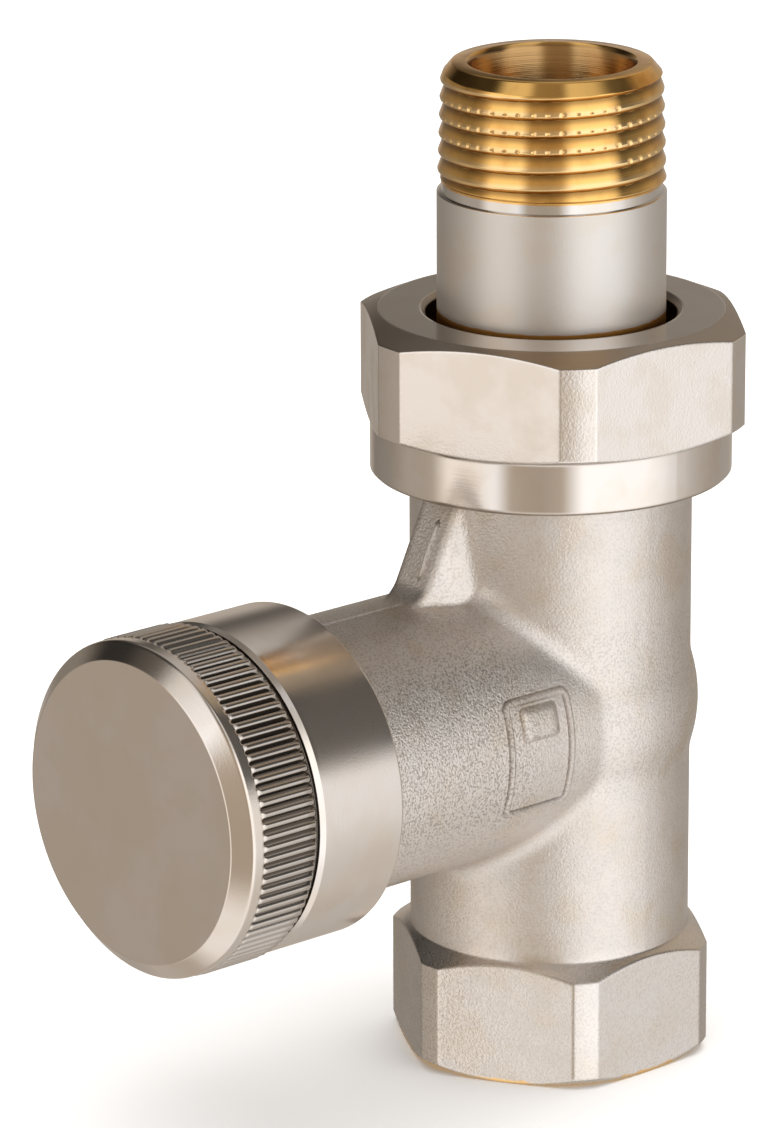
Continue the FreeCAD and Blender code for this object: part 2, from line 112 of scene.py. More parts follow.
# Sealing cap. A tooth of the knurl is shaped by shares of its pitch
CAP_R = 12.45
CAP_SKIRT_R = 12.30
CAP_REAR_D = 25.6
CAP_GROOVE_R = 11.9
CAP_GROOVE_REAR_D = 33.1
KNURL_REAR_D = 33.6
KNURL_FRONT_D = 38.65
KNURL_ROOT_R = 12.06
KNURL_TEETH = 94
KNURL_BAND_R = 12.36
KNURL_END = 0.30
TOOTH_SEGMENTS = 10
TOOTH_LAND = 0.14
TOOTH_FLANK = 0.34
TOOTH_CURVE = 1.4
CAP_EDGE_D = 39.65
CAP_FACE_R = 11.1
CAP_FACE_D = 40.72
CAP_BORE_R = 9.97
CAP_SHOULDER_D = 35.9
CAP_CAVITY_R = 8.2
CAP_CAVITY_D = 38.4

# Gusset, its back as a line from (d, z) to (d, z)
GUSSET_TOP = (10.31, 45.75)
GUSSET_SLOPE_END = (13.83, 38.5)

# Raised trim: boxes are two corners of (along the branch, round its girth), lines are (width, height),
# rings are shares of the box and heights, and a line's section is in shares of its width and height
PLATE_BOX = ((7.4, -4.3), (13.3, 4.4))
PLATE_CORNER = 0.5
PLATE_LINE = (0.74, 0.21)
PAD_BOX = ((8.5, 1.2), (12.2, 3.9))
PAD_CORNER = 0.4
PAD_RINGS = ((1.0, -0.08), (0.90, 0.20), (0.84, 0.23), (0.5, 0.23), (0.2, 0.23))
RIDGE_D = (14.5, 24.8)
RIDGE_OFF_TOP = 0.5
RIDGE_LINE = (0.34, 0.09)
FLASH_ALONG = (2.8, 7.6)
FLASH_ACROSS = 0.45
FLASH_LINE = (0.55, 0.20)
LINE_SECTION = (
    (-0.5, -0.10), (-0.40, 0.22), (-0.22, 0.78), (0.0, 1.0), (0.22, 0.78), (0.40, 0.22), (0.5, -0.10),
)

# Union nut: rounding of its edges, foot of its hexagon, top and hole
NUT_EDGE = 0.30
NUT_HEX_Z = 48.85
NUT_TOP_Z = 57.2
NUT_HOLE_R = 9.3

# Colours, linear
NICKEL = (0.80, 0.75, 0.71)
NICKEL_WARM = (0.74, 0.65, 0.54)
NICKEL_COOL = (0.79, 0.77, 0.75)
BARREL_NICKEL = (0.75, 0.72, 0.69)
# painted highlight for the nut's rounded edges
NICKEL_EDGE_HIGHLIGHT = (0.96, 0.94, 0.91)
NICKEL_FACE_SHADE = (0.44, 0.38, 0.32)
# painted shade for the nut's chamfer and flat faces
NICKEL_PIT = (0.34, 0.30, 0.27)
KNURL_GREY = (0.50, 0.46, 0.42)
# painted shade for the roots of the knurl
KNURL_ROOT_SHADE = (0.13, 0.115, 0.10)
# painted shade for the nut's hole edge and the cap's groove
RECESS_SHADE = (0.05, 0.042, 0.036)
BRASS = (0.92, 0.55, 0.17)
BRASS_DEEP = (0.62, 0.30, 0.075)
# painted highlight for the tail thread's crests
BRASS_CREST_HIGHLIGHT = (0.97, 0.76, 0.44)
# painted shade inside the tail's bore
BRASS_BORE_SHADE = (0.46, 0.28, 0.12)
# painted shade for the tail thread's grooves
BRASS_GROOVE_SHADE = (0.17, 0.085, 0.03)
CAP_HAZE = (0.78, 0.66, 0.60)
WIRE_DARK = (0.48, 0.48, 0.49)
WIRE_LIGHT = (0.62, 0.61, 0.60)
RUBBER = (0.018, 0.018, 0.019)
RUBBER_DUST = (0.045, 0.044, 0.042)
FLOOR_SHADE = (0.95, 0.95, 0.95)
FLOOR_LIGHT = (0.97, 0.97, 0.97)
WHITE = (1.0, 1.0, 1.0)

# The studio as the metal sees it, on the table, at table height, above eye level and overhead: two soft
# boxes in a dim room. Each stop is degrees from the camera to its right, brightness, and warmth
TABLE = (
    (-180, 0.50, 0.4), (-110, 0.46, 0.5), (-70, 0.95, 0.2), (0, 1.00, 0.1), (60, 1.05, 0.1),
    (95, 0.72, 0.2), (130, 0.56, 0.3), (180, 0.50, 0.4),
)
LOW = (
    (-180, 0.45, 0.5), (-165, 0.40, 0.5), (-152, 0.22, 0.5), (-125, 0.28, 0.5), (-105, 0.40, 0.5),
    (-82, 0.42, 0.5), (-70, 1.02, 0.3), (-50, 1.00, 0.3), (-37, 1.12, 0.0), (-27, 0.44, 0.7),
    (-8, 0.39, 0.7), (6, 0.45, 0.7), (19, 1.35, 0.0), (60, 1.30, 0.0), (74, 1.12, 0.0), (85, 0.80, 0.1),
    (98, 0.56, 0.3), (112, 0.44, 0.4), (130, 0.38, 0.4), (150, 0.38, 0.4), (165, 0.42, 0.4),
    (180, 0.45, 0.5),
)
HIGH = (
    (-180, 0.10, 0.4), (-162, 0.10, 0.4), (-140, 0.02, 0.3), (-112, 0.03, 0.3), (-94, 0.18, 0.5),
    (-80, 0.42, 0.5), (-68, 1.15, 0.2), (-36, 1.25, 0.0), (-26, 0.42, 0.8), (-4, 0.37, 0.8), (8, 0.46, 0.8),
    (20, 1.38, 0.0), (60, 1.38, 0.0), (67, 1.00, 0.1), (75, 0.12, 0.2), (106, 0.07, 0.2), (118, 0.30, 1.0),
    (132, 0.40, 1.0), (150, 0.46, 0.6), (166, 0.38, 0.5), (174, 0.28, 0.4), (180, 0.10, 0.4),
)
OVERHEAD = (
    (-180, 0.44, 0.1), (-150, 0.20, 0.3), (-116, 0.03, 0.3), (-88, 0.04, 0.3), (-76, 0.75, 0.1),
    (-46, 0.80, 0.1), (-32, 0.26, 0.6), (18, 0.24, 0.6), (32, 0.80, 0.0), (70, 0.66, 0.1), (87, 0.12, 0.2),
    (107, 0.09, 0.2), (118, 0.27, 1.0), (132, 0.36, 0.9), (146, 0.50, 0.3), (165, 0.54, 0.1),
    (180, 0.44, 0.1),
)
ZENITH = (0.33, 0.29, 0.25)
WHITE_TINT = (1.0, 0.99, 0.98)
WARM_TINT = (1.22, 0.97, 0.70)

# Heights, as sines, between which one view of the studio passes into the next
TABLE_TO_LOW = (-0.80, -0.48)
LOW_TO_HIGH = (0.08, 0.36)
HIGH_TO_OVERHEAD = (0.50, 0.76)
OVERHEAD_TO_ZENITH = (0.93, 0.99)

# Floor and lamp, in metres and watts
FLOOR_HALF = 0.75
LAMP_SIZE = 1.6
LAMP_HEIGHT = 0.9
LAMP_POWER = 17.0


# Node helpers

class Graph:
    """Short calls to make and join the nodes of one shader tree."""

    def __init__(self, tree):
        self.tree = tree
        tree.nodes.clear()

    def add(self, kind, inputs=None, **settings):
        node = self.tree.nodes.new(kind)
        for key, value in settings.items():
            setattr(node, key, value)
        for key, value in (inputs or {}).items():
            self.feed(node.inputs[key], value)
        return node

    def feed(self, socket, value):
        if isinstance(value, bpy.types.NodeSocket):
            self.tree.links.new(value, socket)
        else:
            socket.default_value = value

    def calc(self, operation, a, b=0.0):
        return self.add("ShaderNodeMath", {0: a, 1: b}, operation=operation).outputs[0]

    def total(self, *terms):
        result = terms[0]
        for term in terms[1:]:
            result = self.calc("ADD", result, term)
        return result

    def times(self, a, b):
        return self.calc("MULTIPLY", a, b)

    def step(self, value, low, high, to_low=0.0, to_high=1.0):
        """A soft step of value between low and high."""
        inputs = {"Value": value, "From Min": low, "From Max": high, "To Min": to_low, "To Max": to_high}
        return self.add("ShaderNodeMapRange", inputs, interpolation_type="SMOOTHSTEP").outputs[0]

    def mix(self, factor, a, b):
        node = self.add("ShaderNodeMix", data_type="RGBA")
        self.feed(node.inputs[0], factor)
        for socket, value in ((node.inputs[6], a), (node.inputs[7], b)):
            self.feed(socket, (*value, 1.0) if isinstance(value, tuple) else value)
        return node.outputs[2]

    def ramp(self, factor, stops):
        node = self.add("ShaderNodeValToRGB", {"Fac": factor})
        elements = node.color_ramp.elements
        while len(elements) < len(stops):
            elements.new(0.5)
        for element, (place, colour) in zip(elements, stops):
            element.position = place
            element.color = (*colour, 1.0)
        return node.outputs["Color"]

    def noise(self, vector, scale, detail=2.0, roughness=0.5):
        inputs = {"Vector": vector, "Scale": scale, "Detail": detail, "Roughness": roughness}
        return self.add("ShaderNodeTexNoise", inputs).outputs[0]

    def vector(self, x, y, z):
        return self.add("ShaderNodeCombineXYZ", {0: x, 1: y, 2: z}).outputs[0]

    def split(self, vector):
        return self.add("ShaderNodeSeparateXYZ", {0: vector}).outputs

    def place(self):
        """The point on the piece in the part's own frame, in millimetres."""
        coords = self.add("ShaderNodeTexCoord").outputs["Object"]
        return self.add("ShaderNodeVectorMath", {0: coords, "Scale": 1000.0}, operation="SCALE").outputs[0]

    def length(self, a, b):
        return self.calc("SQRT", self.total(self.times(a, a), self.times(b, b)))

    def helix(self, a, b, height, pitch):
        """A rounded screw thread about an axis, 0 in the root and 1 on the crest."""
        turn = self.times(self.calc("ARCTAN2", b, a), 0.5 / math.pi)
        phase = self.calc("SUBTRACT", self.times(height, 1 / pitch), turn)
        wave = self.calc("COSINE", self.times(phase, 2 * math.pi))
        return self.times(self.total(wave, 1.0), 0.5)


def metal(graph, colour, roughness, height, edge=0.0):
    """A metal shader; height is in millimetres and edge is the radius that rounds sharp edges."""
    inputs = {"Height": height, "Distance": MM, "Strength": 1.0}
    if edge:
        radius = edge * MM if isinstance(edge, float) else graph.times(edge, MM)
        inputs["Normal"] = graph.add("ShaderNodeBevel", {"Radius": radius}, samples=8).outputs[0]
    bump = graph.add("ShaderNodeBump", inputs).outputs[0]
    shader = graph.add("ShaderNodeBsdfPrincipled", {
        "Base Color": colour, "Metallic": 1.0, "Roughness": roughness, "Normal": bump,
    })
    output = graph.add("ShaderNodeOutputMaterial")
    graph.tree.links.new(shader.outputs[0], output.inputs["Surface"])


def new_material(name):
    """A material and the graph of its empty node tree."""
    material = bpy.data.materials.new(name)
    material.use_nodes = True
    return material, Graph(material.node_tree)


def blasted(graph, mm, amount):
    """Height of a sand-blasted skin."""
    fine = graph.noise(mm, 5.6, 1.5, 0.6)
    broad = graph.noise(mm, 1.6, 1.0)
    height = graph.total(graph.times(fine, 0.034), graph.times(broad, 0.008))
    return graph.times(height, amount)


def turning(graph, a, b, amount):
    """Height of fine lathe marks round an axis; a and b are the radius and the place along it."""
    lines = graph.noise(graph.vector(a, b, 0.0), 9.0, 2.0, 0.7)
    return graph.times(lines, amount)


def forged_nickel():
    """Body: blasted nickel with stains, bare brass in the inlet and along the cut foot edge."""
    material, g = new_material("forged_nickel")
    mm = g.place()
    x, y, z = g.split(mm)
    depth = g.times(y, -1.0)
    tube_r = g.length(x, y)
    stain = g.step(g.noise(mm, 0.22, 3.0), 0.46, 0.68)
    cloud = g.step(g.noise(mm, 0.60, 3.0), 0.40, 0.66)
    speck = g.step(g.noise(mm, 2.6, 2.0), 0.62, 0.76)
    colour = g.mix(g.times(stain, 0.55), NICKEL, NICKEL_WARM)
    colour = g.mix(g.times(cloud, 0.35), colour, NICKEL_COOL)
    colour = g.mix(g.times(speck, 0.30), colour, NICKEL_WARM)
    grain = g.total(
        0.25,
        g.step(z, FOOT_FADE_Z, FOOT_FADE_Z + 3.5, 0.0, 0.65),
        g.step(depth, BRANCH_FADE_D, BRANCH_FADE_D + 3.5, 0.0, 0.60),
    )
    pit = g.step(g.noise(mm, 5.5, 1.0), 0.50, 0.60)
    belt = g.times(
        g.step(z, BELT_Z[0] - 3.0, BELT_Z[0], 0.5, 1.0),
        g.step(z, BELT_Z[1], BELT_Z[1] + 2.5, 1.0, 0.5),
    )
    belt = g.times(belt, g.step(depth, BRANCH_FADE_D + 1.0, BRANCH_FADE_D + 4.5, 0.26, 0.60))
    colour = g.mix(g.times(pit, belt), colour, NICKEL_PIT)
    foot_edge = g.step(g.total(z, g.times(g.noise(mm, 1.1), 0.5)), 0.42, 0.66, 1.0, 0.0)
    below = g.step(z, INLET_DEPTH, INLET_DEPTH + 0.3, 1.0, 0.0)
    inlet = g.times(g.step(tube_r, INLET_R - 0.1, INLET_R, 1.0, 0.0), below)
    colour = g.mix(g.calc("MAXIMUM", g.times(foot_edge, 0.85), inlet), colour, BRASS)
    cap_thread = g.step(depth, BRANCH_END_D, BRANCH_END_D + 0.2)
    union_thread = g.times(
        g.step(z, NECK_Z + 0.3, NECK_Z + 0.5),
        g.step(tube_r, UNION_ROOT_R, UNION_ROOT_R + 0.1),
    )
    screwed = g.calc("MAXIMUM", cap_thread, union_thread)
    machined = g.calc("MAXIMUM", g.calc("MAXIMUM", inlet, foot_edge), screwed)
    skin = g.times(blasted(g, mm, grain), g.calc("SUBTRACT", 1.0, machined))
    threads = g.total(
        g.times(g.times(g.helix(x, y, z, INLET_PITCH), inlet), 0.55),
        g.times(g.times(g.helix(x, g.calc("SUBTRACT", z, BRANCH_Z), depth, CAP_PITCH), cap_thread), 0.5),
        g.times(g.times(g.helix(x, y, z, UNION_PITCH), union_thread), 0.6),
    )
    rough = g.step(z, FOOT_FADE_Z, FOOT_FADE_Z + 1.5, 0.24, 0.42)
    rough = g.total(rough, g.times(cloud, 0.05), g.times(machined, -0.15))
    edge = g.step(z, FOOT_FADE_Z + 0.5, FOOT_FADE_Z + 5.0, 0.35, 0.80)
    metal(g, colour, rough, g.total(skin, threads), edge)
    return material


def nut_nickel():
    """Union nut: satin flats with ragged edges lit by a painted highlight, turned skirt, top and chamfer
    darkened by painted shade, painted shade and a painted warm brass reflection at the bore edge.
    """
    material, g = new_material("nut_nickel")
    mm = g.place()
    x, y, z = g.split(mm)
    radius = g.length(x, y)
    normal = g.add("ShaderNodeNewGeometry").outputs["True Normal"]
    facing = g.calc("ABSOLUTE", g.split(normal)[2])
    # The rounded edges of the flats are lightened, with a ragged border: a painted highlight.
    rounding = g.add("ShaderNodeBevel", {"Radius": NUT_EDGE * MM}, samples=8).outputs[0]
    bend = g.add("ShaderNodeVectorMath", {0: rounding, 1: normal}, operation="DOT_PRODUCT")
    ragged = g.times(g.calc("SUBTRACT", g.noise(mm, 2.2, 2.0), 0.5), 0.06)
    edge_highlight = g.step(g.total(bend.outputs["Value"], ragged), 0.955, 0.995, 1.0, 0.0)
    skirt = g.step(z, NUT_HEX_Z - 0.05, NUT_HEX_Z + 0.10, 1.0, 0.0)
    turned = g.calc("MAXIMUM", g.step(facing, 0.3, 0.5), skirt)
    stain = g.step(g.noise(mm, 0.30, 3.0), 0.42, 0.66)
    colour = g.mix(g.times(stain, 0.40), NICKEL, NICKEL_WARM)
    # A wavy brass ring round the hole is a painted reflection of the brass.
    wavy = g.total(radius, g.times(g.noise(mm, 0.8), 0.3))
    brass_reflection = g.step(wavy, NUT_HOLE_R + 0.25, NUT_HOLE_R + 0.45, 1.0, 0.0)
    colour = g.mix(g.times(brass_reflection, 0.5), colour, BRASS)
    # Painted shade darkens the edge of the hole.
    colour = g.mix(g.step(radius, NUT_HOLE_R, NUT_HOLE_R + 0.2, 0.92, 0.0), colour, RECESS_SHADE)
    flat = g.calc("SUBTRACT", 1.0, turned)
    # Painted highlight on the edges of the flats.
    colour = g.mix(g.times(g.times(edge_highlight, flat), 0.8), colour, NICKEL_EDGE_HIGHLIGHT)
    grain = g.times(blasted(g, mm, 0.45), flat)
    lines = g.times(turning(g, radius, z, 0.0025), turned)
    # The chamfer, and less the flat top and bottom, are darkened by the way they face: painted shade.
    chamfer = g.times(g.step(facing, 0.3, 0.5), g.step(facing, 0.95, 0.99, 1.0, 0.0))
    face_shade = g.total(chamfer, g.step(facing, 0.95, 0.99, 0.0, 0.30))
    colour = g.mix(face_shade, colour, NICKEL_FACE_SHADE)
    rough = g.total(0.22, g.times(turned, -0.10), g.times(stain, 0.04), g.times(chamfer, 0.24))
    metal(g, colour, rough, g.total(grain, lines), edge=NUT_EDGE)
    return material


def cap_nickel():
    """Sealing cap: turned nickel with lathe marks and faint oil-coloured bloom on the face, and painted
    shade in the knurl's roots and the groove behind it.
    """
    material, g = new_material("cap_nickel")
    mm = g.place()
    x, y, z = g.split(mm)
    radius = g.length(x, g.calc("SUBTRACT", z, BRANCH_Z))
    bloom = g.step(g.noise(mm, 0.16, 3.0), 0.42, 0.66)
    haze = g.step(g.noise(mm, 0.45, 2.0), 0.45, 0.70)
    colour = g.mix(g.times(bloom, 0.45), NICKEL, NICKEL_WARM)
    colour = g.mix(g.times(haze, 0.22), colour, CAP_HAZE)
    depth = g.times(y, -1.0)
    knurl = g.times(
        g.step(depth, KNURL_REAR_D - 0.05, KNURL_REAR_D + 0.05),
        g.step(depth, KNURL_FRONT_D - 0.2, KNURL_FRONT_D + 0.1, 1.0, 0.0),
    )
    # Painted shade darkens the roots between the knurl's teeth.
    root = g.times(knurl, g.step(radius, KNURL_ROOT_R + 0.08, KNURL_ROOT_R + 0.34, 0.60, 0.0))
    # Painted shade darkens the groove behind the knurl.
    groove_shade = g.times(
        g.step(depth, CAP_GROOVE_REAR_D + 0.22, CAP_GROOVE_REAR_D + 0.3),
        g.step(radius, CAP_GROOVE_R - 0.9, CAP_GROOVE_R - 0.7),
    )
    groove_shade = g.times(groove_shade, g.step(depth, KNURL_REAR_D, KNURL_REAR_D + 0.1, 0.70, 0.0))
    colour = g.mix(g.times(knurl, 0.7), colour, KNURL_GREY)
    colour = g.mix(root, colour, KNURL_ROOT_SHADE)
    colour = g.mix(groove_shade, colour, RECESS_SHADE)
    lines = turning(g, radius, y, 0.0020)
    grain = g.times(g.noise(mm, 6.0, 2.0), 0.003)
    skirt = g.step(depth, CAP_GROOVE_REAR_D - 0.5, CAP_GROOVE_REAR_D - 0.4, 1.0, 0.0)
    rough = g.total(0.13, g.times(bloom, 0.05), g.times(skirt, 0.03))
    metal(g, colour, rough, g.total(lines, grain))
    return material


def tail_metal():
    """Tailpiece: blasted nickel on the barrel, turning deep brass as painted warm shade where it enters the
    nut; bare brass on the thread and the bore, with painted shade in the bore and the grooves and a painted
    highlight on the crests.
    """
    material, g = new_material("tail_metal")
    mm = g.place()
    x, y, z = g.split(mm)
    radius = g.length(x, y)
    wavy = g.total(z, g.times(g.noise(mm, 1.5), 0.10))
    plated = g.times(
        g.step(wavy, UNDERCUT_TOP_Z - 0.15, UNDERCUT_TOP_Z, 1.0, 0.0),
        g.step(radius, TAIL_BORE_R + 0.4, TAIL_BORE_R + 0.6),
    )
    barrel = g.step(z, TAIL_THREAD_Z - 0.1, TAIL_THREAD_Z, 1.0, 0.0)
    tarnish = g.step(g.noise(mm, 0.5, 3.0), 0.45, 0.70)
    brass = g.mix(g.times(tarnish, 0.5), BRASS, BRASS_DEEP)
    # Painted shade darkens the brass inside the bore.
    brass = g.mix(g.step(radius, TAIL_BORE_R + 0.1, TAIL_BORE_R + 0.25, 1.0, 0.0), brass, BRASS_BORE_SHADE)
    taper = (TAIL_THREAD_TOP_R - TAIL_R) / (TAIL_THREAD_TOP_Z - TAIL_THREAD_Z)
    crest = g.total(g.times(z, taper), TAIL_R - taper * TAIL_THREAD_Z)
    fallen = g.calc("SUBTRACT", crest, radius)
    # Painted shade darkens the thread's grooves.
    groove_shade = g.step(fallen, 0.12, 0.32)
    # Painted highlight lightens the land on each crest.
    crest_highlight = g.step(fallen, 0.02, 0.13, 1.0, 0.0)
    cut = g.times(
        g.step(z, UNDERCUT_TOP_Z, UNDERCUT_TOP_Z + 0.3),
        g.step(z, TAIL_THREAD_TOP_Z - 0.15, TAIL_THREAD_TOP_Z, 1.0, 0.0),
    )
    cut = g.times(cut, g.step(radius, TAIL_MOUTH_R + 0.8, TAIL_MOUTH_R + 1.0))
    brass = g.mix(g.times(g.times(groove_shade, cut), 0.75), brass, BRASS_GROOVE_SHADE)
    brass = g.mix(g.times(g.times(crest_highlight, cut), 0.6), brass, BRASS_CREST_HIGHLIGHT)
    stain = g.step(g.noise(mm, 0.25, 3.0), 0.48, 0.68)
    nickel = g.mix(g.times(stain, 0.35), BARREL_NICKEL, NICKEL_WARM)
    # The barrel turns deep brass just below the nut's top: painted warm shade where it enters the nut.
    uneven = g.total(z, g.times(g.noise(mm, 0.6), 0.2))
    nut_gap_shade = g.step(uneven, NUT_TOP_Z + 0.04, NUT_TOP_Z + 0.16, 1.0, 0.0)
    nickel = g.mix(nut_gap_shade, nickel, BRASS_DEEP)
    colour = g.mix(plated, brass, nickel)
    grain = g.times(g.times(blasted(g, mm, 0.2), plated), barrel)
    lines = turning(g, radius, z, g.step(radius, TAIL_BORE_R + 0.1, TAIL_BORE_R + 0.2, 0.012, 0.002))
    rough = g.total(0.13, g.times(g.times(plated, barrel), 0.32))
    metal(g, colour, rough, g.total(grain, lines))
    return material


def turned_brass():
    """Bare turned brass of the inner pieces."""
    material, g = new_material("turned_brass")
    mm = g.place()
    x, y, z = g.split(mm)
    radius = g.length(x, g.calc("SUBTRACT", z, BRANCH_Z))
    tarnish = g.step(g.noise(mm, 0.4, 3.0), 0.45, 0.70)
    colour = g.mix(g.times(tarnish, 0.5), BRASS, BRASS_DEEP)
    metal(g, colour, g.total(0.22, g.times(tarnish, 0.06)), turning(g, radius, y, 0.0020), edge=0.1)
    return material


def spring_steel():
    """Bare drawn wire of the plug's ring."""
    material, g = new_material("spring_steel")
    mm = g.place()
    cloud = g.noise(mm, 1.2, 3.0)
    colour = g.mix(cloud, WIRE_DARK, WIRE_LIGHT)
    metal(g, colour, g.total(0.22, g.times(cloud, 0.12)), g.times(g.noise(mm, 8.0), 0.006))
    return material


def black_rubber():
    """Matt rubber of seals and washer."""
    material, g = new_material("black_rubber")
    mm = g.place()
    dust = g.noise(mm, 1.4, 3.0)
    colour = g.mix(dust, RUBBER, RUBBER_DUST)
    height = g.times(g.noise(mm, 7.0), 0.02)
    bump = g.add("ShaderNodeBump", {"Height": height, "Distance": MM}).outputs[0]
    rough = g.total(0.55, g.times(dust, 0.2))
    shader = g.add("ShaderNodeBsdfPrincipled", {
        "Base Color": colour, "Roughness": rough, "Normal": bump,
    })
    output = g.add("ShaderNodeOutputMaterial")
    g.tree.links.new(shader.outputs[0], output.inputs["Surface"])
    return material


# Mesh helpers

def rounded(corners, arc_steps=4):
    """A profile of (radius, place, fillet) with its corners rounded; near points hold each arc."""
    points = []
    for i, (r, h, fillet) in enumerate(corners):
        here = np.array((r, h), float)
        if not fillet:
            points.append(here)
            continue
        before = np.array(corners[i - 1][:2], float) - here
        after = np.array(corners[(i + 1) % len(corners)][:2], float) - here
        before /= np.linalg.norm(before)
        after /= np.linalg.norm(after)
        half = math.acos(np.clip(before @ after, -1, 1)) / 2
        cut = fillet / math.tan(half)
        centre = here + (before + after) / np.linalg.norm(before + after) * fillet / math.sin(half)
        start = here + before * cut - centre
        turn = math.pi - 2 * half
        side = math.copysign(1.0, before[1] * after[0] - before[0] * after[1])
        points.append(here + before * (cut + 0.25 * fillet))
        for k in range(arc_steps + 1):
            a = side * turn * k / arc_steps
            spin = np.array(((math.cos(a), -math.sin(a)), (math.sin(a), math.cos(a))))
            points.append(centre + spin @ start)
        points.append(here + after * (cut + 0.25 * fillet))
    return np.array(points)


def spun(name, radii, places, about_branch, closed):
    """A mesh of revolution; radii is rows x segments, places is one per row.

    A closed one joins its last row to its first, and an open one ends in two discs.
    """
    rows, segments = radii.shape
    turn = np.linspace(0, 2 * math.pi, segments, endpoint=False)
    across = radii * np.cos(turn)
    upward = radii * np.sin(turn)
    along = np.repeat(np.asarray(places)[:, None], segments, axis=1)
    if about_branch:
        grid = np.stack((across, -along, upward + BRANCH_Z), axis=-1)
        ends = [(0, -places[0], BRANCH_Z), (0, -places[-1], BRANCH_Z)]
    else:
        grid = np.stack((across, upward, along), axis=-1)
        ends = [(0, 0, places[0]), (0, 0, places[-1])]
    vertices = grid.reshape(-1, 3).tolist()
    faces = []
    for i in range(rows if closed else rows - 1):
        low, high = i * segments, (i + 1) % rows * segments
        for j in range(segments):
            k = (j + 1) % segments
            faces.append((low + j, low + k, high + k, high + j))
    if not closed:
        first, last = len(vertices), len(vertices) + 1
        vertices += ends
        top = (rows - 1) * segments
        for j in range(segments):
            k = (j + 1) % segments
            faces.append((first, k, j))
            faces.append((last, top + j, top + k))
    return make_mesh(name, vertices, faces)


def make_mesh(name, vertices, faces, sharp_degrees=38):
    """A smooth object from points in millimetres, with its faces turned outwards."""
    mesh = bpy.data.meshes.new(name)
    mesh.from_pydata([(x * MM, y * MM, z * MM) for x, y, z in vertices], [], faces)
    mesh.validate()
    piece = bpy.data.objects.new(name, mesh)
    bpy.context.scene.collection.objects.link(piece)
    bpy.context.view_layer.objects.active = piece
    bpy.ops.object.select_all(action="DESELECT")
    piece.select_set(True)
    bpy.ops.object.mode_set(mode="EDIT")
    bpy.ops.mesh.select_all(action="SELECT")
    bpy.ops.mesh.normals_make_consistent(inside=False)
    bpy.ops.object.mode_set(mode="OBJECT")
    mesh.shade_smooth()
    mesh.set_sharp_from_angle(angle=math.radians(sharp_degrees))
    return piece


def soft_step(value, low, high):
    """0 up to low, 1 from high on, and a soft rise between."""
    t = np.clip((value - low) / (high - low), 0, 1)
    return t * t * (3 - 2 * t)


# Pieces

def thread_radius(turn, z):
    """Outside radius of the tail at one height, for all turn angles.

    Each turn falls off under a narrow crest land and rises again to the next; three crests are notched.
    """
    phase = (z - THREAD_CREST_Z) / THREAD_PITCH - turn / (2 * math.pi)
    offset = phase - np.round(phase)
    below = np.ceil(phase) - phase
    share = (z - TAIL_THREAD_Z) / (TAIL_THREAD_TOP_Z - TAIL_THREAD_Z)
    crest = TAIL_R + (TAIL_THREAD_TOP_R - TAIL_R) * share
    radius = crest - np.interp(below, THREAD_BELOW, THREAD_DROP)
    notch = np.cos(NOTCHES * turn) ** 8 * (np.cos(NOTCHES * turn) > 0)
    notched = (phase > NOTCH_TURNS[0]) & (phase < NOTCH_TURNS[1])
    radius = radius - NOTCH_DEPTH * notch * notched * np.exp(-(offset / NOTCH_WIDTH) ** 2)
    radius = UNDERCUT_R + (radius - UNDERCUT_R) * soft_step(z, UNDERCUT_TOP_Z, UNDERCUT_TOP_Z + 0.2)
    slope = (TAIL_THREAD_TOP_R - TAIL_RIM_R) / (TAIL_TOP_Z - TAIL_THREAD_TOP_Z)
    return np.minimum(radius, TAIL_THREAD_TOP_R - (z - TAIL_THREAD_TOP_Z) * slope)


def tailpiece():
    """Tail with collar, barrel, relief and cut thread, spun about the flow axis."""
    segments = NOTCHES * NOTCH_SEGMENTS
    turn = np.linspace(0, 2 * math.pi, segments, endpoint=False)
    below = rounded([
        (TAIL_BORE_R, TAIL_NOSE_Z + 0.4, 0),
        (TAIL_BORE_R + 0.2, TAIL_NOSE_Z, 0),
        (TAIL_BORE_R + 0.3, TAIL_NOSE_Z, 0),
        (TAIL_NOSE_R, TAIL_COLLAR_Z, 0),
        (TAIL_COLLAR_R - 0.3, TAIL_COLLAR_Z, 0),
        (TAIL_COLLAR_R, TAIL_COLLAR_Z + 0.3, 0),
        (TAIL_COLLAR_R, TAIL_COLLAR_TOP_Z, 0.15),
        (TAIL_R, TAIL_COLLAR_TOP_Z, 0),
        (TAIL_R, TAIL_THREAD_Z - 0.04, 0),
        (TAIL_R - 0.05, TAIL_THREAD_Z, 0),
        (UNDERCUT_R, TAIL_THREAD_Z + 0.06, 0),
    ])
    thread_z = np.arange(TAIL_THREAD_Z + 0.12, TAIL_TOP_Z - 0.03, THREAD_ROW)
    above = rounded([
        (TAIL_RIM_R - 0.08, TAIL_TOP_Z, 0),
        (TAIL_MOUTH_R + 0.08, TAIL_TOP_Z, 0),
        (TAIL_MOUTH_R, TAIL_TOP_Z - 0.08, 0),
        (TAIL_BORE_R, TAIL_TOP_Z - 0.5, 0),
    ])
    radii = [np.full(segments, r) for r, _ in below]
    radii += [thread_radius(turn, z) for z in thread_z]
    radii += [np.full(segments, r) for r, _ in above]
    places = np.concatenate((below[:, 1], thread_z, above[:, 1]))
    return spun("threaded_tailpiece", np.array(radii), places, False, True)


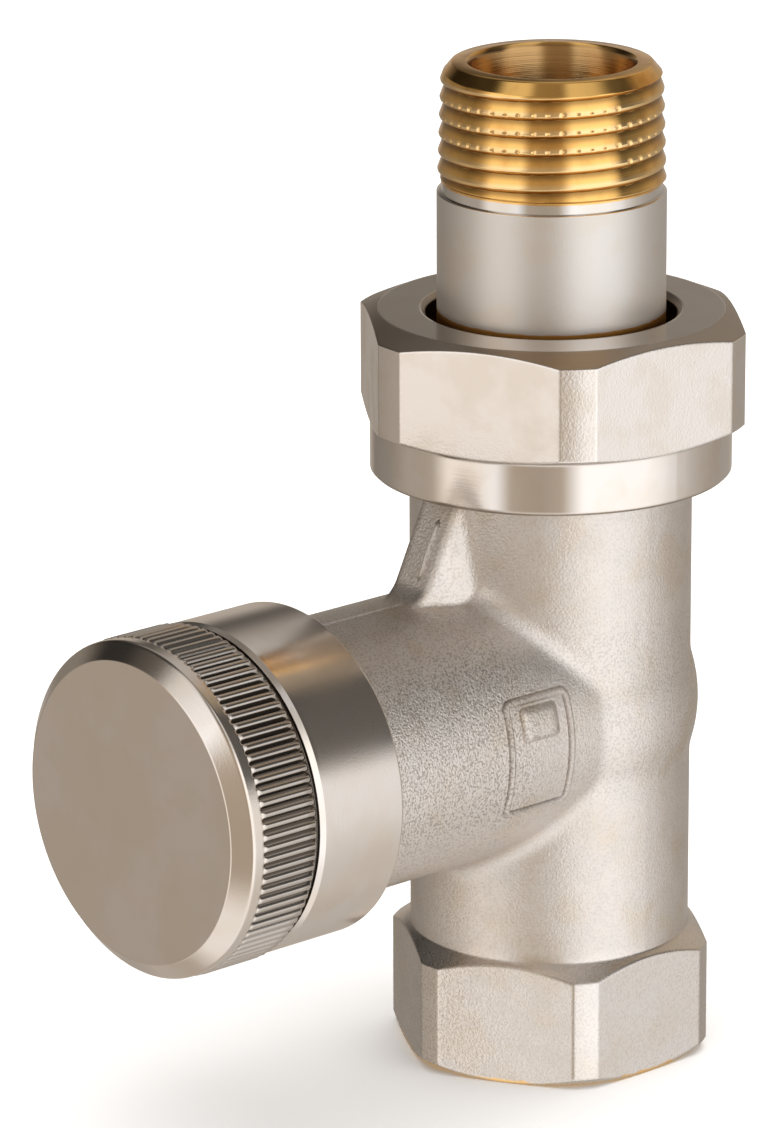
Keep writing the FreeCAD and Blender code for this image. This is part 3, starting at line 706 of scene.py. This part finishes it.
def sealing_cap():
    """Turned cap; its knurl's teeth have round crests, sharp roots, bevelled rear and round front ends."""
    segments = KNURL_TEETH * TOOTH_SEGMENTS
    turn = np.linspace(0, 2 * math.pi, segments, endpoint=False)
    share = KNURL_TEETH * turn / (2 * math.pi)
    from_crest = np.abs(share - np.round(share))
    tooth = 1 - np.clip((from_crest - TOOTH_LAND) / TOOTH_FLANK, 0, 1) ** TOOTH_CURVE
    rear = rounded([
        (CAP_CAVITY_R - 0.4, CAP_CAVITY_D, 0),
        (CAP_CAVITY_R, CAP_CAVITY_D - 0.4, 0),
        (CAP_CAVITY_R, CAP_SHOULDER_D, 0),
        (CAP_BORE_R, CAP_SHOULDER_D, 0),
        (CAP_BORE_R, CAP_REAR_D + 0.7, 0),
        (CAP_BORE_R + 0.7, CAP_REAR_D, 0),
        (CAP_SKIRT_R, CAP_REAR_D, 0.18),
        (CAP_SKIRT_R, CAP_GROOVE_REAR_D - 0.17, 0.06),
        (CAP_SKIRT_R - 0.18, CAP_GROOVE_REAR_D + 0.25, 0.03),
        (CAP_GROOVE_R, CAP_GROOVE_REAR_D + 0.29, 0),
        (CAP_GROOVE_R, KNURL_REAR_D, 0),
    ])
    front = rounded([
        (KNURL_BAND_R, KNURL_FRONT_D + 0.25, 0),
        (KNURL_BAND_R, CAP_EDGE_D, 0.35),
        (CAP_FACE_R, CAP_FACE_D, 0.20),
        (CAP_FACE_R * 0.5, CAP_FACE_D, 0),
    ])
    bevel = CAP_R - KNURL_ROOT_R
    knurl_d = np.concatenate((
        np.linspace(KNURL_REAR_D + 0.02, KNURL_REAR_D + bevel + 0.05, 6),
        np.linspace(KNURL_REAR_D + 1.2, KNURL_FRONT_D - 1.0, 4),
        np.linspace(KNURL_FRONT_D - KNURL_END - 0.1, KNURL_FRONT_D + 0.15, 9),
    ))
    radii = [np.full(segments, r) for r, _ in rear]
    for d in knurl_d:
        crest = min(CAP_R, KNURL_ROOT_R + d - KNURL_REAR_D)
        fall = np.clip((d - KNURL_FRONT_D + KNURL_END) / KNURL_END, 0, 1)
        crest = crest - (CAP_R - KNURL_BAND_R) * (1 - math.sqrt(1 - fall ** 2))
        run_out = soft_step(d, KNURL_FRONT_D - 0.2, KNURL_FRONT_D + 0.15)
        root = KNURL_ROOT_R + (KNURL_BAND_R - KNURL_ROOT_R) * run_out
        radii.append(root + np.maximum(crest - root, 0) * tooth)
    radii += [np.full(segments, r) for r, _ in front]
    places = np.concatenate((rear[:, 1], knurl_d, front[:, 1]))
    return spun("knurled_cap", np.array(radii), places, True, False)


def on_branch(along, across, height):
    """A point on the branch's +X side: along from the flow axis, across round its girth."""
    angle = across / BRANCH_R
    r = BRANCH_R + height
    return r * math.cos(angle), -along, BRANCH_Z + r * math.sin(angle)


def on_gusset(along, across, height):
    """A point on the gusset's sloping back: along from its top, across to +X."""
    fall = np.array(GUSSET_SLOPE_END) - np.array(GUSSET_TOP)
    fall /= np.linalg.norm(fall)
    d, z = np.array(GUSSET_TOP) + fall * along + np.array((-fall[1], fall[0])) * height
    return across, -d, z


def raised_line(name, path, size, mapping, closed):
    """A rounded ridge of one width and height along a flat path, wrapped on the body by mapping."""
    width, height = size
    path = np.array(path, float)
    count = len(path)
    vertices = []
    for i in range(count):
        ahead = path[(i + 1) % count] if closed or i < count - 1 else path[i]
        behind = path[i - 1] if closed or i > 0 else path[i]
        run = ahead - behind
        run /= np.linalg.norm(run)
        side = np.array((-run[1], run[0]))
        taper = 1.0 if closed or 0 < i < count - 1 else 0.05
        for offset, rise in LINE_SECTION:
            along, across = path[i] + side * offset * width * taper
            vertices.append(mapping(along, across, rise * height * taper))
    wide = len(LINE_SECTION)
    faces = []
    for i in range(count if closed else count - 1):
        low, high = i * wide, (i + 1) % count * wide
        for j in range(wide):
            k = (j + 1) % wide
            faces.append((low + j, low + k, high + k, high + j))
    if not closed:
        faces.append(tuple(range(wide)))
        faces.append(tuple(range((count - 1) * wide, count * wide)))
    return make_mesh(name, vertices, faces, 60)


def rounded_box(low, high, corner):
    """Points round a flat box from low to high with round corners."""
    path = []
    corners = (
        (high[0], high[1], 0),
        (low[0], high[1], 90),
        (low[0], low[1], 180),
        (high[0], low[1], 270),
    )
    for a, b, start in corners:
        ca = a - math.copysign(corner, a - (low[0] + high[0]) / 2)
        cb = b - math.copysign(corner, b - (low[1] + high[1]) / 2)
        for k in range(5):
            turn = math.radians(start + 22.5 * k)
            path.append((ca + corner * math.cos(turn), cb + corner * math.sin(turn)))
    dense = []
    for a, b in zip(path, path[1:] + path[:1]):
        steps = max(1, int(math.dist(a, b) / 0.35))
        for k in range(steps):
            dense.append((a[0] + (b[0] - a[0]) * k / steps, a[1] + (b[1] - a[1]) * k / steps))
    return np.array(dense)


def plate_frame():
    """The plain raised frame on the side of the branch, left empty."""
    path = rounded_box(*PLATE_BOX, PLATE_CORNER)
    return raised_line("plate_frame", path, PLATE_LINE, on_branch, True)


def plate_pad():
    """The plain raised pad in the upper end of the frame."""
    path = rounded_box(*PAD_BOX, PAD_CORNER)
    centre = path.mean(axis=0)
    vertices = []
    for scale, height in PAD_RINGS:
        vertices += [on_branch(*(centre + (p - centre) * scale), height) for p in path]
    wide = len(path)
    last = (len(PAD_RINGS) - 1) * wide
    faces = [tuple(range(wide)), tuple(range(last, last + wide))]
    for i in range(len(PAD_RINGS) - 1):
        for j in range(wide):
            k = (j + 1) % wide
            faces.append((i * wide + j, i * wide + k, (i + 1) * wide + k, (i + 1) * wide + j))
    return make_mesh("plate_pad", vertices, faces)


def parting_ridge():
    """Trace of the forging die along the top of the branch."""
    quarter = math.pi / 2 * BRANCH_R
    path = [(d, quarter - RIDGE_OFF_TOP) for d in np.linspace(*RIDGE_D, 24)]
    return raised_line("parting_ridge", path, RIDGE_LINE, on_branch, False)


def gusset_flash():
    """Trace of the forging die down the back of the gusset."""
    path = [(s, FLASH_ACROSS + 0.05 * math.sin(2.1 * s)) for s in np.linspace(*FLASH_ALONG, 20)]
    return raised_line("gusset_flash", path, FLASH_LINE, on_gusset, False)


# Studio

def studio_stops(views):
    """Ramp stops from degrees, brightness and warmth."""
    stops = []
    for degrees, value, warmth in views:
        tint = [white + (warm - white) * warmth for white, warm in zip(WHITE_TINT, WARM_TINT)]
        stops.append(((degrees + 180) / 360, tuple(value * t for t in tint)))
    return stops


def studio_world():
    """White backdrop for the camera; the metal sees two soft boxes in a dim room over a pale table."""
    world = bpy.data.worlds.new("studio")
    bpy.context.scene.world = world
    world.use_nodes = True
    g = Graph(world.node_tree)
    direction = g.add("ShaderNodeTexCoord").outputs["Generated"]
    z = g.split(direction)[2]
    inputs = {"Vector": direction, "Angle": -VIEW_AZIMUTH}
    turned = g.add("ShaderNodeVectorRotate", inputs, rotation_type="Z_AXIS")
    across, away, _ = g.split(turned.outputs[0])
    around = g.calc("ARCTAN2", across, g.times(away, -1.0))
    place = g.total(g.times(around, 0.5 / math.pi), 0.5)
    table, low, high, overhead = (g.ramp(place, studio_stops(v)) for v in (TABLE, LOW, HIGH, OVERHEAD))
    room = g.mix(g.step(z, *LOW_TO_HIGH), low, high)
    room = g.mix(g.step(z, *HIGH_TO_OVERHEAD), room, overhead)
    room = g.mix(g.step(z, *OVERHEAD_TO_ZENITH), room, ZENITH)
    room = g.mix(g.step(z, *TABLE_TO_LOW, 1.0, 0.0), room, table)
    seen = g.add("ShaderNodeLightPath").outputs["Is Camera Ray"]
    colour = g.mix(seen, room, WHITE)
    background = g.add("ShaderNodeBackground", {"Color": colour, "Strength": 1.0})
    output = g.add("ShaderNodeOutputWorld")
    g.tree.links.new(background.outputs[0], output.inputs["Surface"])


def studio_floor():
    """Pale floor that keeps a soft shadow, under one large overhead lamp."""
    half = FLOOR_HALF
    mesh = bpy.data.meshes.new("floor")
    corners = [(-half, -half, 0), (half, -half, 0), (half, half, 0), (-half, half, 0)]
    mesh.from_pydata(corners, [], [(0, 1, 2, 3)])
    floor = bpy.data.objects.new("floor", mesh)
    bpy.context.scene.collection.objects.link(floor)
    material, g = new_material("pale_floor")
    mm = g.place()
    colour = g.mix(g.noise(mm, 0.02), FLOOR_SHADE, FLOOR_LIGHT)
    shader = g.add("ShaderNodeBsdfDiffuse", {"Color": colour})
    output = g.add("ShaderNodeOutputMaterial")
    g.tree.links.new(shader.outputs[0], output.inputs["Surface"])
    mesh.materials.append(material)
    floor.visible_glossy = False
    lamp = bpy.data.lights.new("overhead", "AREA")
    lamp.shape = "SQUARE"
    lamp.size = LAMP_SIZE
    lamp.energy = LAMP_POWER
    overhead = bpy.data.objects.new("overhead", lamp)
    overhead.location = (0, 0, LAMP_HEIGHT)
    overhead.visible_glossy = False
    bpy.context.scene.collection.objects.link(overhead)


def photo_camera():
    """The photograph's camera, placed from its angles, distance and aim."""
    data = bpy.data.cameras.new("camera")
    data.sensor_fit = "VERTICAL"
    data.sensor_height = SENSOR_HEIGHT
    data.lens = LENS
    data.clip_start = 0.01
    camera = bpy.data.objects.new("camera", data)
    back = Vector((
        math.sin(VIEW_AZIMUTH) * math.cos(VIEW_ELEVATION),
        -math.cos(VIEW_AZIMUTH) * math.cos(VIEW_ELEVATION),
        math.sin(VIEW_ELEVATION),
    ))
    level = Vector((math.cos(VIEW_AZIMUTH), math.sin(VIEW_AZIMUTH), 0))
    up = back.cross(level)
    right = level * math.cos(VIEW_ROLL) + up * math.sin(VIEW_ROLL)
    top = up * math.cos(VIEW_ROLL) - level * math.sin(VIEW_ROLL)
    place = (level * VIEW_SIDE + Vector((0, 0, VIEW_HEIGHT)) + back * VIEW_DISTANCE) * MM
    turn = Matrix((right, top, back)).transposed().to_4x4()
    camera.matrix_world = Matrix.Translation(place) @ turn
    bpy.context.scene.collection.objects.link(camera)
    bpy.context.scene.camera = camera


# Assembly

def dress(piece, material):
    """Give a piece one material."""
    piece.data.materials.clear()
    piece.data.materials.append(material)


def add_piece(piece, material, body, replaced=None):
    """Hang a mesh of the scene on its body; replaced names the solid it stands for."""
    dress(piece, material)
    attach(piece, body)
    if replaced:
        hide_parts(replaced)


def main():
    """Load the frame, dress its solids, add the scene's own pieces, then the studio and the camera."""
    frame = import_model()
    bpy.context.scene.view_settings.view_transform = "Standard"
    forged = forged_nickel()
    brass = turned_brass()
    rubber = black_rubber()
    finishes = {
        "valve_body": forged,
        "union_nut": nut_nickel(),
        "guide_bush": brass,
        "spindle": brass,
        "valve_plug": brass,
        "washer_screw": brass,
        "plug_ring": spring_steel(),
        "cap_gasket": rubber,
        "guide_bush_o_ring": rubber,
        "spindle_o_ring_outer": rubber,
        "spindle_o_ring_inner": rubber,
        "seat_washer": rubber,
    }
    for name, material in finishes.items():
        dress(frame["nodes"][name], material)
    add_piece(tailpiece(), tail_metal(), "tail", "tailpiece")
    add_piece(sealing_cap(), cap_nickel(), "cap", "sealing_cap")
    add_piece(plate_frame(), forged, "body")
    add_piece(plate_pad(), forged, "body")
    add_piece(parting_ridge(), forged, "body")
    add_piece(gusset_flash(), forged, "body")
    studio_world()
    studio_floor()
    photo_camera()


main()
